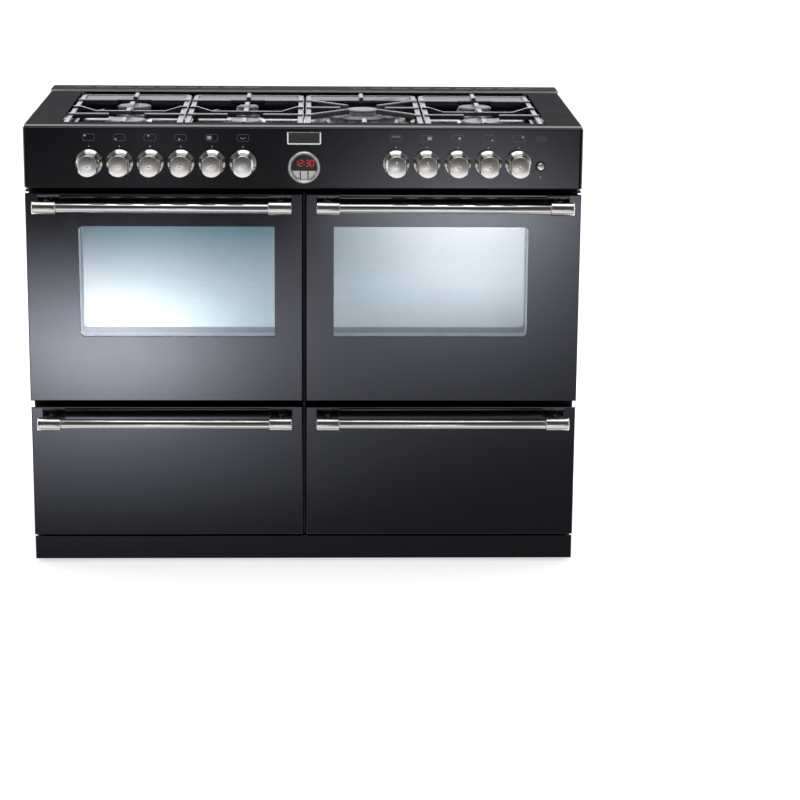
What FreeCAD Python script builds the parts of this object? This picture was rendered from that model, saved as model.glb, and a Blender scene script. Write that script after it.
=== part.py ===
import FreeCAD, Part
import math
import os

os.makedirs("parts", exist_ok=True)
V = FreeCAD.Vector

# ---------------------------------------------------------------- driving dimensions, mm
# Working frame: X right, Y to the back with the fascia's face at y = 0, Z up from the floor.
WIDTH = 1100.0            # over the fascia
DEPTH_REAR = 595.0        # rear edge of the hotplate
FRONT_REACH = 56.0        # front of the handle caps, ahead of the fascia
YOFF = -(DEPTH_REAR - FRONT_REACH) / 2.0   # centres the bounding box on Y
SHEET = 2.0

FASCIA_Z0, FASCIA_Z1, FASCIA_D = 772.0, 892.0, 53.0
KNOB_Z = 822.5
GAS_KNOBS = [("knob_rear_left", -421.0), ("knob_front_left", -361.2), ("knob_mid_rear", -301.6),
             ("knob_mid_front", -241.5), ("knob_wok", 302.4), ("knob_front_right", 362.5),
             ("knob_rear_right", 422.2)]
OVEN_KNOBS = [("knob_left_oven", -180.6), ("knob_function", -119.8), ("knob_grill", 181.0),
              ("knob_right_oven", 241.6)]
KNOB_REACH = 53.0         # face of a knob ahead of the fascia
KNOB_DOME = 75.0          # radius of that face's crown
SPINDLE_R = 4.0
BORE_R = 4.05
CLOCK_Z, CLOCK_R, CLOCK_BORE, CLOCK_LIP = 815.0, 32.5, 26.5, 25.2
BUTTON_X, BUTTON_Z = 466.0, 818.0

HOB_Z = 897.0             # surround
WELL_X, WELL_Y0, WELL_Y1, WELL_Z = 480.0, 40.0, 520.0, 871.0
DISH_R, DISH_Z = 84.0, 864.5
GRATE_TOP, GRATE_BAR = 898.0, 10.0
GRATE_Y0, GRATE_Y1 = 44.0, 490.0
GRATE_X = [-358.5, -119.5, 119.5, 358.5]
GRATE_W, RAIL_W, RAIL_DROP = 235.0, 11.0, 3.0
ROW_REAR, ROW_FRONT, ROW_MID = 387.0, 166.0, 276.5
BURNERS = [(-358.5, ROW_REAR, 35.0), (-358.5, ROW_FRONT, 40.0), (-119.5, ROW_REAR, 22.0),
           (-119.5, ROW_FRONT, 34.0), (358.5, ROW_REAR, 35.0), (358.5, ROW_FRONT, 42.0)]
WOK = (119.5, ROW_MID)

DOOR_X0, DOOR_X1, DOOR_Z0, DOOR_Z1 = 3.5, 549.0, 340.0, 761.0
WIN_X0, WIN_X1, WIN_Z0, WIN_Z1 = 58.7, 445.5, 473.0, 695.5
PANEL_Y, PANEL_T, DOOR_BACK = 3.0, 5.0, 44.0
HINGE_Y, HINGE_Z = 24.0, 354.0
HINGE_X = [70.0, 482.0]   # arm centres, measured from the middle of the range

DRAWER_X1, DRAWER_Z0, DRAWER_Z1 = 548.0, 59.5, 327.0
BOX_X0, BOX_X1, BOX_Y1, BOX_Z0, BOX_Z1 = 25.0, 515.0, 560.0, 70.0, 262.0

HANDLE_Y, HANDLE_R, CAP_R, CAP_L = -43.0, 9.5, 13.0, 46.0
HANDLE_X0, HANDLE_X1 = 24.3, 530.3
HANDLE_Z_DOOR, HANDLE_Z_DRAWER = 740.0, 304.0

OVEN_X0, OVEN_X1, OVEN_Z0, OVEN_Z1, OVEN_Y1 = 37.0, 467.0, 395.0, 735.0, 480.0
FRAME_Y0, FRAME_Y1 = 53.0, 55.0
SIDE_X = 547.0
BACK_Y0, BACK_Y1 = 575.0, 577.0
BASE_Z0, BASE_Z1 = 56.0, 58.0
SHELVES = [528.0, 598.0]
FAN_X, FAN_Z = -252.0, 500.0


# ---------------------------------------------------------------- helpers
def box(x0, x1, y0, y1, z0, z1):
    return Part.makeBox(x1 - x0, y1 - y0, z1 - z0, V(x0, y0, z0))


def mirrored(s, left):
    """The right-hand shape, or its mirror image for the left half."""
    return s.mirror(V(0, 0, 0), V(1, 0, 0)) if left else s


def cyl(r, p, d, h):
    return Part.makeCylinder(r, h, V(*p), V(*d))


def ring(r1, r0, p, d, h):
    return cyl(r1, p, d, h).cut(cyl(r0, p, d, h))


def fuse(shapes):
    s = shapes[0]
    if len(shapes) > 1:
        s = s.fuse(shapes[1:])
    return s.removeSplitter()


def cut(s, tools):
    return s.cut(Part.makeCompound(tools)) if tools else s


def turned(pts, base, axis):
    """A solid turned from (radius, distance along axis) points."""
    face = Part.Face(Part.makePolygon([V(r, 0, t) for r, t in pts] + [V(pts[0][0], 0, pts[0][1])]))
    s = face.revolve(V(0, 0, 0), V(0, 0, 1), 360)
    s.Placement = FreeCAD.Placement(V(*base), FreeCAD.Rotation(V(0, 0, 1), V(*axis)))
    return s


def edges_at(s, test):
    return [e for e in s.Edges if test(e)]


def along(e, axis, tol=1e-4):
    b = e.BoundBox
    spans = [b.XLength, b.YLength, b.ZLength]
    return spans[axis] > 1.0 and all(spans[k] < tol for k in range(3) if k != axis)


def window_outline(grow, y0, y1):
    """The window's block on the right-hand door: round corners on the outer side only."""
    s = box(WIN_X0 - grow, WIN_X1 + grow, y0, y1, WIN_Z0 - grow, WIN_Z1 + grow)
    return s.makeFillet(9.0 + grow, edges_at(s, lambda e: along(e, 1) and e.BoundBox.XMin > 300.0))


def save(name, shapes):
    shapes = shapes if isinstance(shapes, list) else [shapes]
    solids = []
    for s in shapes:
        solids += s.Solids
    out = Part.makeCompound(solids) if len(solids) > 1 else solids[0]
    out = out.copy()
    out.translate(V(0, YOFF, 0))
    out.exportStep("parts/%s.step" % name)


# ---------------------------------------------------------------- carcass
def side_and_centre_panels():
    side = fuse([box(SIDE_X - SHEET, SIDE_X, FRAME_Y1, BACK_Y1, 30, 884),
                 box(520, SIDE_X - SHEET, FRAME_Y1, FRAME_Y1 + SHEET, 790, 884),
                 box(525, SIDE_X - SHEET, BACK_Y0 - SHEET, BACK_Y0, 60, 884)])
    centre = box(-1.5, 1.5, FRAME_Y1, BACK_Y0, BASE_Z1, 780)
    save("side_and_centre_panels", [side, mirrored(side, True), centre])


def back_panel():
    s = box(-543, 543, BACK_Y0, BACK_Y1, 60, 880)
    tools = []
    for x0 in (-380, 140):
        for k in range(13):
            tools.append(box(x0 + 20 * k, x0 + 20 * k + 7, BACK_Y0 - 1, BACK_Y1 + 1, 800, 850))
    for x0 in (-440, 200):
        for k in range(5):
            tools.append(box(x0, x0 + 240, BACK_Y0 - 1, BACK_Y1 + 1, 120 + 24 * k, 128 + 24 * k))
    tools.append(cyl(13.0, (510, BACK_Y0 - 1, 822), (0, 1, 0), 4))
    s = cut(s, tools)
    cover = box(-520, -430, BACK_Y1, BACK_Y1 + 16, 690, 810)
    cover = cover.makeFillet(3.0, edges_at(cover, lambda e: along(e, 1)))
    rib = [box(-300, 300, BACK_Y1, BACK_Y1 + 3, z, z + 12) for z in (330, 620)]
    save("back_panel", [s.fuse([cover] + rib).removeSplitter()])


def base_tray():
    s = fuse([box(-543, 543, FRAME_Y1 + 2, BACK_Y0 - 2, BASE_Z0, BASE_Z1),
              box(-545, -543, FRAME_Y1 + 2, BACK_Y0 - 2, BASE_Z0, 76),
              box(543, 545, FRAME_Y1 + 2, BACK_Y0 - 2, BASE_Z0, 76),
              box(-543, 543, BACK_Y0 - 4, BACK_Y0 - 2, BASE_Z0, 76)])
    s = s.cut(box(-2, 2, BACK_Y0 - 5, BACK_Y0, BASE_Z1, 80))   # lets the centre panel through the rear flange
    save("base_tray", s)


def front_frame():
    s = box(-545, 545, FRAME_Y0, FRAME_Y1, BASE_Z0, 784)
    tools = []
    for left in (False, True):
        tools.append(mirrored(box(OVEN_X0, OVEN_X1, FRAME_Y0 - 1, FRAME_Y1 + 1, OVEN_Z0, OVEN_Z1), left))
        tools.append(mirrored(box(4, 541, FRAME_Y0 - 1, FRAME_Y1 + 1, 62, 322), left))
    s = cut(s, tools)
    fin = box(-2, 2, 8, FRAME_Y0, 62, 764)
    cheeks = [box(535, 548.5, 12, FRAME_Y0, 763, 767), box(-548.5, -535, 12, FRAME_Y0, 763, 767)]
    save("front_frame", fuse([s, fin] + cheeks))


def plinth():
    y0 = PANEL_Y + 3
    s = fuse([box(-547, 547, y0, y0 + 2, 7.4, BASE_Z0), box(-544.5, -542.5, y0 + 2, 80, 7.4, 54),
              box(542.5, 544.5, y0 + 2, 80, 7.4, 54), box(-544.5, 544.5, y0, 90, 54, BASE_Z0)])
    save("plinth", s.makeFillet(1.4, edges_at(s, lambda e: along(e, 0) and e.BoundBox.YMax < y0 + 0.01)))


def levelling_feet():
    out = []
    for x in (-480, 480):
        for y in (120, 530):
            pad = cyl(22, (x, y, 0), (0, 0, 1), 7)
            pad = pad.makeFillet(1.5, edges_at(pad, lambda e: e.BoundBox.ZMin > 6.9 and e.BoundBox.XLength > 10))
            stem = cyl(6, (x, y, 7), (0, 0, 1), BASE_Z0 - 7)
            nut = Part.Face(Part.makePolygon([V(x + 12 * math.cos(a * math.pi / 3), y + 12 * math.sin(a * math.pi / 3), 48)
                                              for a in range(7)])).extrude(V(0, 0, BASE_Z0 - 48))
            out.append(fuse([pad, stem, nut]))
    save("levelling_feet", out)


# ---------------------------------------------------------------- control panel
def fascia_panel():
    half = WIDTH / 2
    s = box(-half, half, 0, FASCIA_D, FASCIA_Z0, FASCIA_Z1)
    s = s.makeFillet(8.0, edges_at(s, lambda e: along(e, 2) and e.BoundBox.YMax < 0.01))
    s = s.makeFillet(2.5, edges_at(s, lambda e: e.BoundBox.YMax < 8.1 and e.BoundBox.ZLength < 0.01))
    s = s.cut(box(-half + 2.5, half - 2.5, 2.5, FASCIA_D + 1, FASCIA_Z0 + 2, FASCIA_Z1 - 2)
              .cut(box(half - 9, half, 2, 9, FASCIA_Z0, FASCIA_Z1)).cut(box(-half, -half + 9, 2, 9, FASCIA_Z0, FASCIA_Z1)))
    tools = [cyl(7.0, (x, -1, KNOB_Z), (0, 1, 0), 6) for _, x in GAS_KNOBS + OVEN_KNOBS]
    tools.append(cyl(CLOCK_BORE, (0, -1, CLOCK_Z), (0, 1, 0), 6))
    tools.append(cyl(8.0, (BUTTON_X, -1, BUTTON_Z), (0, 1, 0), 6))
    tools.append(cyl(1.5, (BUTTON_X, -1, 797), (0, 1, 0), 6))
    save("fascia_panel", cut(s, tools))


def control_trims():
    bezel = turned([(CLOCK_BORE, 0), (CLOCK_R, 0), (CLOCK_R, 5.0), (CLOCK_R - 0.9, 8.0), (CLOCK_R - 2.6, 9.6), (CLOCK_R - 4.2, 9.6),
                    (CLOCK_LIP + 1.4, 7.6), (CLOCK_LIP, 6.2), (CLOCK_LIP, 5.2), (CLOCK_BORE, 5.2)], (0, 0, CLOCK_Z), (0, -1, 0))
    collar = turned([(7.4, 0), (10.2, 0), (10.2, 1.8), (9.2, 3.0), (7.4, 3.0)], (BUTTON_X, 0, BUTTON_Z), (0, -1, 0))
    lamp = cyl(1.5, (BUTTON_X, -0.6, 797), (0, 1, 0), 3.1)
    plate = box(-33.2, 33.2, -2.4, 0, 860, 884)
    plate = plate.makeFillet(3.0, edges_at(plate, lambda e: along(e, 1) and e.BoundBox.ZMax < 861))
    plate = plate.cut(box(-31.2, 31.2, -3, -1.2, 862.2, 885))
    save("control_trims", [bezel, collar, lamp, plate])


def clock_display():
    s = cyl(CLOCK_BORE - 0.1, (0, -3.5, CLOCK_Z), (0, 1, 0), 38)
    s = s.cut(box(-40, 40, -10, 2.6, CLOCK_Z - 40, CLOCK_Z - 6))
    save("clock_display", s)


def clock_buttons():
    disc = cyl(24.6, (0, -4.6, CLOCK_Z), (0, 1, 0), 4.6)
    for name, x0, x1 in (("clock_button_left", -30, -8.7), ("clock_button_middle", -6.5, 6.5),
                         ("clock_button_right", 8.7, 30)):
        save(name, disc.common(box(x0, x1, -10, 10, CLOCK_Z - 30, CLOCK_Z - 6.6)))


def ignition_button():
    s = turned([(0, -20), (3.5, -20), (3.5, 2.0), (7.0, 2.0), (7.0, 5.6), (6.0, 6.8), (3.0, 7.4), (0, 7.5)],
               (BUTTON_X, 0, BUTTON_Z), (0, -1, 0))
    save("ignition_button", s)


def knobs():
    prof = [(SPINDLE_R, 0.5), (26.7, 0.5), (26.7, 3.2), (25.9, 4.2), (23.4, 6.6), (21.6, 8.4), (21.0, 9.6), (21.0, 13.6), (20.0, 14.4),
            (20.0, 16.0), (21.0, 16.8), (21.0, 20.4), (20.0, 21.2), (20.0, 22.8), (21.0, 23.6), (21.0, KNOB_REACH), (0, KNOB_REACH), (0, 20.0),
            (SPINDLE_R, 20.0)]
    base = turned(prof, (0, 0, 0), (0, -1, 0))
    base = base.common(Part.makeSphere(KNOB_DOME, V(0, KNOB_DOME - KNOB_REACH, 0)))
    for side in (-1, 1):
        x0, x1 = (17.4, 40.0) if side > 0 else (-40.0, -17.4)
        base = base.cut(box(x0, x1, -60, -28, -30, 30))
        wedge = Part.Face(Part.makePolygon([V(side * 17.4, -28.0, -30), V(side * 21.5, -24.6, -30), V(side * 40, -24.6, -30),
                                            V(side * 40, -28.0, -30), V(side * 17.4, -28.0, -30)])).extrude(V(0, 0, 60))
        base = base.cut(wedge)
    base = base.makeFillet(1.6, edges_at(base, lambda e: along(e, 1) and e.BoundBox.YMax < -27 and e.BoundBox.YLength > 15))
    base = base.makeFillet(1.3, edges_at(base, lambda e: e.BoundBox.YMax < -45))
    dimple = base.cut(Part.makeSphere(4.0, V(0, -KNOB_REACH - 3.65, 0)))
    line = base.cut(box(-0.9, 0.9, -60, -KNOB_REACH + 0.9, 3.0, 16.5))
    spindle = cyl(SPINDLE_R, (0, -20, 0), (0, 1, 0), 64)
    for name, x in GAS_KNOBS + OVEN_KNOBS:
        head = line if name in ("knob_grill", "knob_right_oven") else dimple
        pair = []
        for s in (head, spindle):
            s = s.copy()
            s.translate(V(x, 0, KNOB_Z))
            pair.append(s)
        save(name, pair)


def gas_rail():
    out = []
    for _, x in GAS_KNOBS:
        s = fuse([box(x - 12, x + 12, 28, 70, 806, 840), cyl(9, (x, 2.5, KNOB_Z), (0, 1, 0), 26)])
        s = s.cut(cyl(5.5, (x, 0, KNOB_Z), (0, 1, 0), 28)).cut(cyl(BORE_R, (x, 20, KNOB_Z), (0, 1, 0), 26))
        out.append(s)
    pipe = fuse([cyl(10, (-445, 77, 822), (1, 0, 0), 965), cyl(10.48, (510, 77, 822), (0, 1, 0), DEPTH_REAR - 77)])
    nut = Part.Face(Part.makePolygon([V(510 + 16 * math.cos(a * math.pi / 3), BACK_Y1, 822 + 16 * math.sin(a * math.pi / 3))
                                      for a in range(7)])).extrude(V(0, 5, 0))
    pipe = fuse([pipe, nut])
    save("gas_rail", [fuse([pipe] + out)])


def electrical_units():
    out = []
    for _, x in OVEN_KNOBS:
        s = fuse([box(x - 18, x + 18, 28, 66, 804, 842), cyl(9, (x, 2.5, KNOB_Z), (0, 1, 0), 26),
                  box(x - 12, x + 12, 66, 66.7, 812, 834)])
        s = s.cut(cyl(5.5, (x, 0, KNOB_Z), (0, 1, 0), 28)).cut(cyl(BORE_R, (x, 20, KNOB_Z), (0, 1, 0), 26))
        out.append(s)
    sw = fuse([box(BUTTON_X - 12, BUTTON_X + 12, 26, 48, BUTTON_Z - 12, BUTTON_Z + 12),
               ring(11, 8.5, (BUTTON_X, 2.5, BUTTON_Z), (0, 1, 0), 23.5)])
    out.append(sw)
    motor = fuse([cyl(38, (FAN_X, 496, FAN_Z), (0, 1, 0), 50), cyl(15, (FAN_X, 486, FAN_Z), (0, 1, 0), 12),
                  box(FAN_X - 60, FAN_X + 60, 494, 496, FAN_Z - 12, FAN_Z + 12),
                  box(FAN_X - 60, FAN_X - 56, 482, 496, FAN_Z - 12, FAN_Z + 12),
                  box(FAN_X + 56, FAN_X + 60, 482, 496, FAN_Z - 12, FAN_Z + 12)])
    motor = motor.cut(cyl(BORE_R, (FAN_X, 480, FAN_Z), (0, 1, 0), 46))
    out.append(motor)
    save("electrical_units", out)


# ---------------------------------------------------------------- hob
def hotplate():
    shell = box(-SIDE_X, SIDE_X, PANEL_Y, DEPTH_REAR, 884, HOB_Z)
    shell = shell.makeChamfer(3.2, edges_at(shell, lambda e: along(e, 0) and e.BoundBox.ZMin > HOB_Z - 0.1
                                            and e.BoundBox.YMax < PANEL_Y + 0.1))
    shell = shell.makeFillet(1.5, edges_at(shell, lambda e: e.BoundBox.ZMin > HOB_Z - 0.1 and e.BoundBox.YMax > PANEL_Y + 6))
    shell = shell.cut(box(-SIDE_X + SHEET, SIDE_X - SHEET, FASCIA_D, DEPTH_REAR - SHEET, 880, HOB_Z - SHEET))
    shell = shell.cut(box(-600, 600, 0, FASCIA_D, 880, FASCIA_Z1))
    tub = box(-WELL_X - SHEET, WELL_X + SHEET, WELL_Y0 - SHEET, WELL_Y1 + SHEET, WELL_Z - SHEET, HOB_Z - 0.5)
    tub = tub.cut(box(-600, 600, 0, FASCIA_D + 1, WELL_Z - 10, FASCIA_Z1))   # kept clear of the fascia's shell
    inner = box(-WELL_X, WELL_X, WELL_Y0, WELL_Y1, WELL_Z, HOB_Z + 5)
    inner = inner.makeFillet(16.0, edges_at(inner, lambda e: along(e, 2)))
    front = box(-WELL_X - SHEET, WELL_X + SHEET, FASCIA_D + 0.5, FASCIA_D + 2.5, WELL_Z - SHEET, FASCIA_Z1 + 1)
    ledge = box(-WELL_X, WELL_X, WELL_Y0, FASCIA_D + 2.5, FASCIA_Z1, FASCIA_Z1 + 1)
    inner_low = inner.common(box(-600, 600, FASCIA_D + 2.5, 700, WELL_Z - 1, HOB_Z + 6))
    inner_top = inner.common(box(-600, 600, 0, 700, FASCIA_Z1 + 1, HOB_Z + 6))
    s = shell.fuse([tub, front, ledge]).cut(inner_low).cut(inner_top)
    dishes = []
    holes = []
    spots = [(x, y, r - 5.0) for x, y, r in BURNERS] + [(WOK[0], WOK[1], 52.0)]
    for x, y, rh in spots:
        big = 26.0 if rh == 52.0 else 0.0
        R = DISH_R + big
        holes.append(cyl(R + 1, (x, y, WELL_Z - 10), (0, 0, 1), 20))
        dishes.append(turned([(R + 2, WELL_Z), (R, WELL_Z), (R - 7, DISH_Z), (rh, DISH_Z), (rh, DISH_Z - 2), (R - 6.2, DISH_Z - 2),
                              (R + 0.8, WELL_Z - 2), (R + 2, WELL_Z - 2)], (x, y, 0), (0, 0, 1)))
    s = s.cut(Part.makeCompound(holes)).fuse(dishes).removeSplitter()
    save("hotplate", s)


def rear_vent_trim():
    s = box(-548, 548, 523.5, DEPTH_REAR, HOB_Z, 902)
    s = s.makeFillet(1.8, edges_at(s, lambda e: e.BoundBox.ZMin > 901.9))
    slots = [box(x, x + 34, 560, 566, 899, 910) for x in [-500 + 46 * k for k in range(9)] + [98 + 46 * k for k in range(9)]]
    save("rear_vent_trim", cut(s, slots))


def burners():
    bodies, crowns, caps, sparks = [], [], [], []
    for x, y, r in BURNERS:
        bodies.append(fuse([cyl(r - 5.0, (x, y, 842), (0, 0, 1), DISH_Z - 842), cyl(r + 3.0, (x, y, DISH_Z), (0, 0, 1), 4.0),
                            cyl(8, (x, y, 848), (0, -1, 0), r + 20)]))
        c = cyl(r - 1.5, (x, y, DISH_Z + 4), (0, 0, 1), 11.5)
        n = 8 if r < 30 else 12
        slots = []
        for k in range(n):
            b = box(-r - 5, r + 5, -1.1, 1.1, DISH_Z + 10.5, DISH_Z + 20)
            b.rotate(V(0, 0, 0), V(0, 0, 1), 180.0 * k / n)
            b.translate(V(x, y, 0))
            slots.append(b)
        core = cyl(r - 8, (x, y, DISH_Z + 4), (0, 0, 1), 11.5)
        crowns.append(c.cut(fuse(slots).cut(core)))
        caps.append(turned([(0, 880), (r, 880), (r, 882.6), (r - 1.2, 884.6), (r - 4.0, 886.0), (r - 6.0, 886.0), (r - 7.0, 885.4), (0, 885.4)],
                           (x, y, 0), (0, 0, 1)))
        sx = x + (r + 9) * math.cos(2.4)
        sy = y + (r + 9) * math.sin(2.4)
        sparks.append(fuse([cyl(3.0, (sx, sy, DISH_Z), (0, 0, 1), 12), cyl(1.0, (sx, sy, DISH_Z), (0, 0, 1), 17)]))
    x, y = WOK
    bodies.append(fuse([cyl(51.0, (x, y, 836), (0, 0, 1), DISH_Z - 836), cyl(74.0, (x, y, DISH_Z), (0, 0, 1), 4.0),
                        cyl(9, (x, y, 848), (0, -1, 0), 90)]))
    crown = turned([(52, DISH_Z + 4), (68.5, DISH_Z + 4), (68.5, 878), (52, 878)], (x, y, 0), (0, 0, 1))
    slots = []
    for k in range(18):
        b = box(58, 80, -1.2, 1.2, 873.5, 880)
        b.rotate(V(0, 0, 0), V(0, 0, 1), 20.0 * k)
        b.translate(V(x, y, 0))
        slots.append(b)
    crowns.append(crown.cut(Part.makeCompound(slots)))
    crowns.append(turned([(0, DISH_Z + 4), (42, DISH_Z + 4), (42, 879), (40.5, 880), (0, 880)], (x, y, 0), (0, 0, 1)))
    caps.append(turned([(50, 878), (70, 878), (70, 880.5), (68, 882.5), (64, 883.5), (54, 883.5), (50, 882)], (x, y, 0), (0, 0, 1)))
    caps.append(turned([(34.0, 880), (40, 880), (40, 881.4), (38.6, 882.8), (36.4, 883.4), (34.0, 883.4)], (x, y, 0), (0, 0, 1)))
    drum = turned([(0, 880), (33.2, 880), (33.2, 885.2), (32.0, 886.0), (32.0, 890.6), (0, 890.6)], (x, y, 0), (0, 0, 1))
    teeth = []
    for k in range(24):
        b = box(29, 40, -1.0, 1.0, 883.4, 886.6)
        b.rotate(V(0, 0, 0), V(0, 0, 1), 15.0 * k)
        b.translate(V(x, y, 0))
        teeth.append(b)
    crowns.append(drum.cut(Part.makeCompound(teeth)))
    caps.append(turned([(0, 890.6), (33.6, 890.6), (33.6, 892.4), (32.2, 893.8), (26.0, 894.4), (0, 894.4)], (x, y, 0), (0, 0, 1)))
    sx, sy = x + 83 * math.cos(2.4), y + 83 * math.sin(2.4)
    sparks.append(fuse([cyl(3.0, (sx, sy, DISH_Z), (0, 0, 1), 12), cyl(1.0, (sx, sy, DISH_Z), (0, 0, 1), 17)]))
    save("burner_bodies", bodies)
    save("burner_crowns", crowns)
    save("burner_caps", caps)
    save("spark_electrodes", sparks)


def bar(x0, x1, y0, y1, z0, z1, c=1.8):
    """A cast bar with its two long top edges chamfered."""
    s = box(x0, x1, y0, y1, z0, z1)
    axis = 0 if x1 - x0 > y1 - y0 else 1
    return s.makeChamfer(c, edges_at(s, lambda e: along(e, axis) and e.BoundBox.ZMin > z1 - 0.01))


def grate_frame(cx):
    """Two side rails, a rear rail with rounded corners and a sloped apron, a low front tie and four feet."""
    x0, x1 = cx - GRATE_W / 2, cx + GRATE_W / 2
    z0, z1 = GRATE_TOP - GRATE_BAR, GRATE_TOP - RAIL_DROP
    frame = box(x0, x1, GRATE_Y0, GRATE_Y1, z0, z1)
    frame = frame.makeFillet(16.0, edges_at(frame, lambda e: along(e, 2) and e.BoundBox.YMin > 300))
    frame = frame.makeFillet(4.0, edges_at(frame, lambda e: along(e, 2) and e.BoundBox.YMax < 100))
    frame = frame.makeChamfer(2.0, edges_at(frame, lambda e: e.BoundBox.ZMin > z1 - 0.01))
    hole = box(x0 + RAIL_W, x1 - RAIL_W, GRATE_Y0 - 1, GRATE_Y1 - 12, z0 - 1, z1 + 1)
    hole = hole.makeFillet(7.0, edges_at(hole, lambda e: along(e, 2) and e.BoundBox.YMin > 300))
    edge = [(GRATE_Y1 - 11, z1 - 1.0), (GRATE_Y1 - 13, z1 - 1.0), (GRATE_Y1 - 36, z1 - 6.6), (GRATE_Y1 - 36, z1 - 10.6), (GRATE_Y1 - 11, z1 - 8.0)]
    step = Part.Face(Part.makePolygon([V(x0 + 6, y, z) for y, z in edge + edge[:1]])).extrude(V(x1 - x0 - 12, 0, 0))
    tie = box(x0 + 5, x1 - 5, FASCIA_D + 4.5, FASCIA_D + 14.5, z0 - 7, z0 + 2.5)
    feet = [box(x, x + 9, y, y + 12, WELL_Z, z0 + 1) for x in (x0 + 1, x1 - 10) for y in (FASCIA_D + 7, GRATE_Y1 - 22)]
    return [frame.cut(hole), step, tie] + feet, x0, x1, z0, GRATE_TOP


def dipped_bar(x0, x1, y, z1):
    """The middle cross bar: it drops from the side rails and runs low between the burners."""
    pts = [(x0 + 1, z1), (x0 + 15, z1), (x0 + 46, z1 - 9.5), (x1 - 46, z1 - 9.5), (x1 - 15, z1), (x1 - 1, z1), (x1 - 1, z1 - 8),
           (x1 - 16, z1 - 8), (x1 - 47, z1 - 17), (x0 + 47, z1 - 17), (x0 + 16, z1 - 8), (x0 + 1, z1 - 8)]
    wire = Part.makePolygon([V(x, y - 4.5, z) for x, z in pts + pts[:1]])
    return Part.Face(wire).extrude(V(0, 9.0, 0))


def rising_finger(cx, y_low, y_up, y_tip, z1):
    """A finger that climbs from the low cross bar to the pan's level and points at a burner."""
    d = 1 if y_up > y_low else -1
    pts = [(y_low - 4 * d, z1 - 9.5), (y_low + 10 * d, z1 - 9.5), (y_up, z1), (y_tip, z1), (y_tip, z1 - 8), (y_up - 2 * d, z1 - 8),
           (y_low + 8 * d, z1 - 17), (y_low - 4 * d, z1 - 17)]
    wire = Part.makePolygon([V(cx - 4.5, y, z) for y, z in pts + pts[:1]])
    return Part.Face(wire).extrude(V(9.0, 0, 0))


def pan_supports():
    for i, cx in enumerate(GRATE_X):
        bits, x0, x1, z0, z1 = grate_frame(cx)
        bits += [bar(cx - 4.5, cx + 4.5, GRATE_Y0 + 3, 104, z0, z1), bar(cx - 4.5, cx + 4.5, ROW_REAR + 32, GRATE_Y1 - 2, z0, z1 + 1.5)]
        if i != 2:
            for y in (ROW_REAR, ROW_FRONT):
                bits += [bar(x0 + 1, cx - 36, y - 4.5, y + 4.5, z0, z1), bar(cx + 36, x1 - 1, y - 4.5, y + 4.5, z0, z1)]
            bits += [dipped_bar(x0, x1, ROW_MID, z1), rising_finger(cx, ROW_MID, ROW_MID - 24, ROW_FRONT + 36, z1),
                     rising_finger(cx, ROW_MID, ROW_MID + 24, ROW_REAR - 38, z1)]
        else:
            bits += [bar(x0 + 1, cx - 46, ROW_MID - 4.5, ROW_MID + 4.5, z0, z1), bar(cx + 46, x1 - 1, ROW_MID - 4.5, ROW_MID + 4.5, z0, z1)]
            for y in (ROW_REAR, ROW_FRONT):
                bits += [bar(x0 + 1, x0 + 14, y - 4.5, y + 4.5, z0, z1), bar(x1 - 14, x1 - 1, y - 4.5, y + 4.5, z0, z1)]
            for sx, y in ((-1, ROW_REAR), (1, ROW_REAR), (-1, ROW_FRONT), (1, ROW_FRONT)):
                ax, ay = cx + sx * 108, y
                dx, dy = cx - ax, ROW_MID - ay
                length = math.hypot(dx, dy)
                b = bar(0, length - 44, -4.5, 4.5, z0, z1)
                b.rotate(V(0, 0, 0), V(0, 0, 1), math.degrees(math.atan2(dy, dx)))
                b.translate(V(ax, ay, 0))
                bits.append(b)
        s = fuse(bits).cut(box(x0 - 1, x1 + 1, GRATE_Y0 - 1, FASCIA_D + 3.2, z0 - 20, FASCIA_Z1 + 1.4))   # clear of the hob's front ledge
        save("pan_support_%d" % (i + 1), s)


# ---------------------------------------------------------------- ovens
def oven_liners():
    s = fuse([box(OVEN_X0 - SHEET, OVEN_X1 + SHEET, FRAME_Y1, OVEN_Y1 + SHEET, OVEN_Z0 - SHEET, OVEN_Z1 + SHEET),
              box(OVEN_X0 - 10, OVEN_X1 + 10, FRAME_Y1, FRAME_Y1 + SHEET, OVEN_Z0 - 10, OVEN_Z1 + 10)])
    s = s.cut(box(OVEN_X0, OVEN_X1, FRAME_Y1 - 1, OVEN_Y1, OVEN_Z0, OVEN_Z1))
    left = mirrored(s, True).cut(cyl(9, (FAN_X, OVEN_Y1 - 1, FAN_Z), (0, 1, 0), 6))
    save("oven_liners", [s, left])


def oven_racks():
    out = []
    for z in SHELVES:
        for x0, x1 in ((OVEN_X0, OVEN_X0 + 10), (OVEN_X1 - 10, OVEN_X1)):
            out.append(box(x0, x1, 75, 450, z - 5, z))
        plate = box(OVEN_X0 + 2, OVEN_X1 - 2, 80, 440, z, z + 4)
        tools = []
        n, pitch = 16, (OVEN_X1 - OVEN_X0 - 12.0) / 16
        for k in range(n):
            a = OVEN_X0 + 6 + k * pitch + 1.5
            tools.append(box(a, a + pitch - 3.0, 84, 258, z - 1, z + 5))
            tools.append(box(a, a + pitch - 3.0, 262, 436, z - 1, z + 5))
        out.append(cut(plate, tools))
    save("oven_racks", out + [mirrored(s, True) for s in out])


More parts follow.
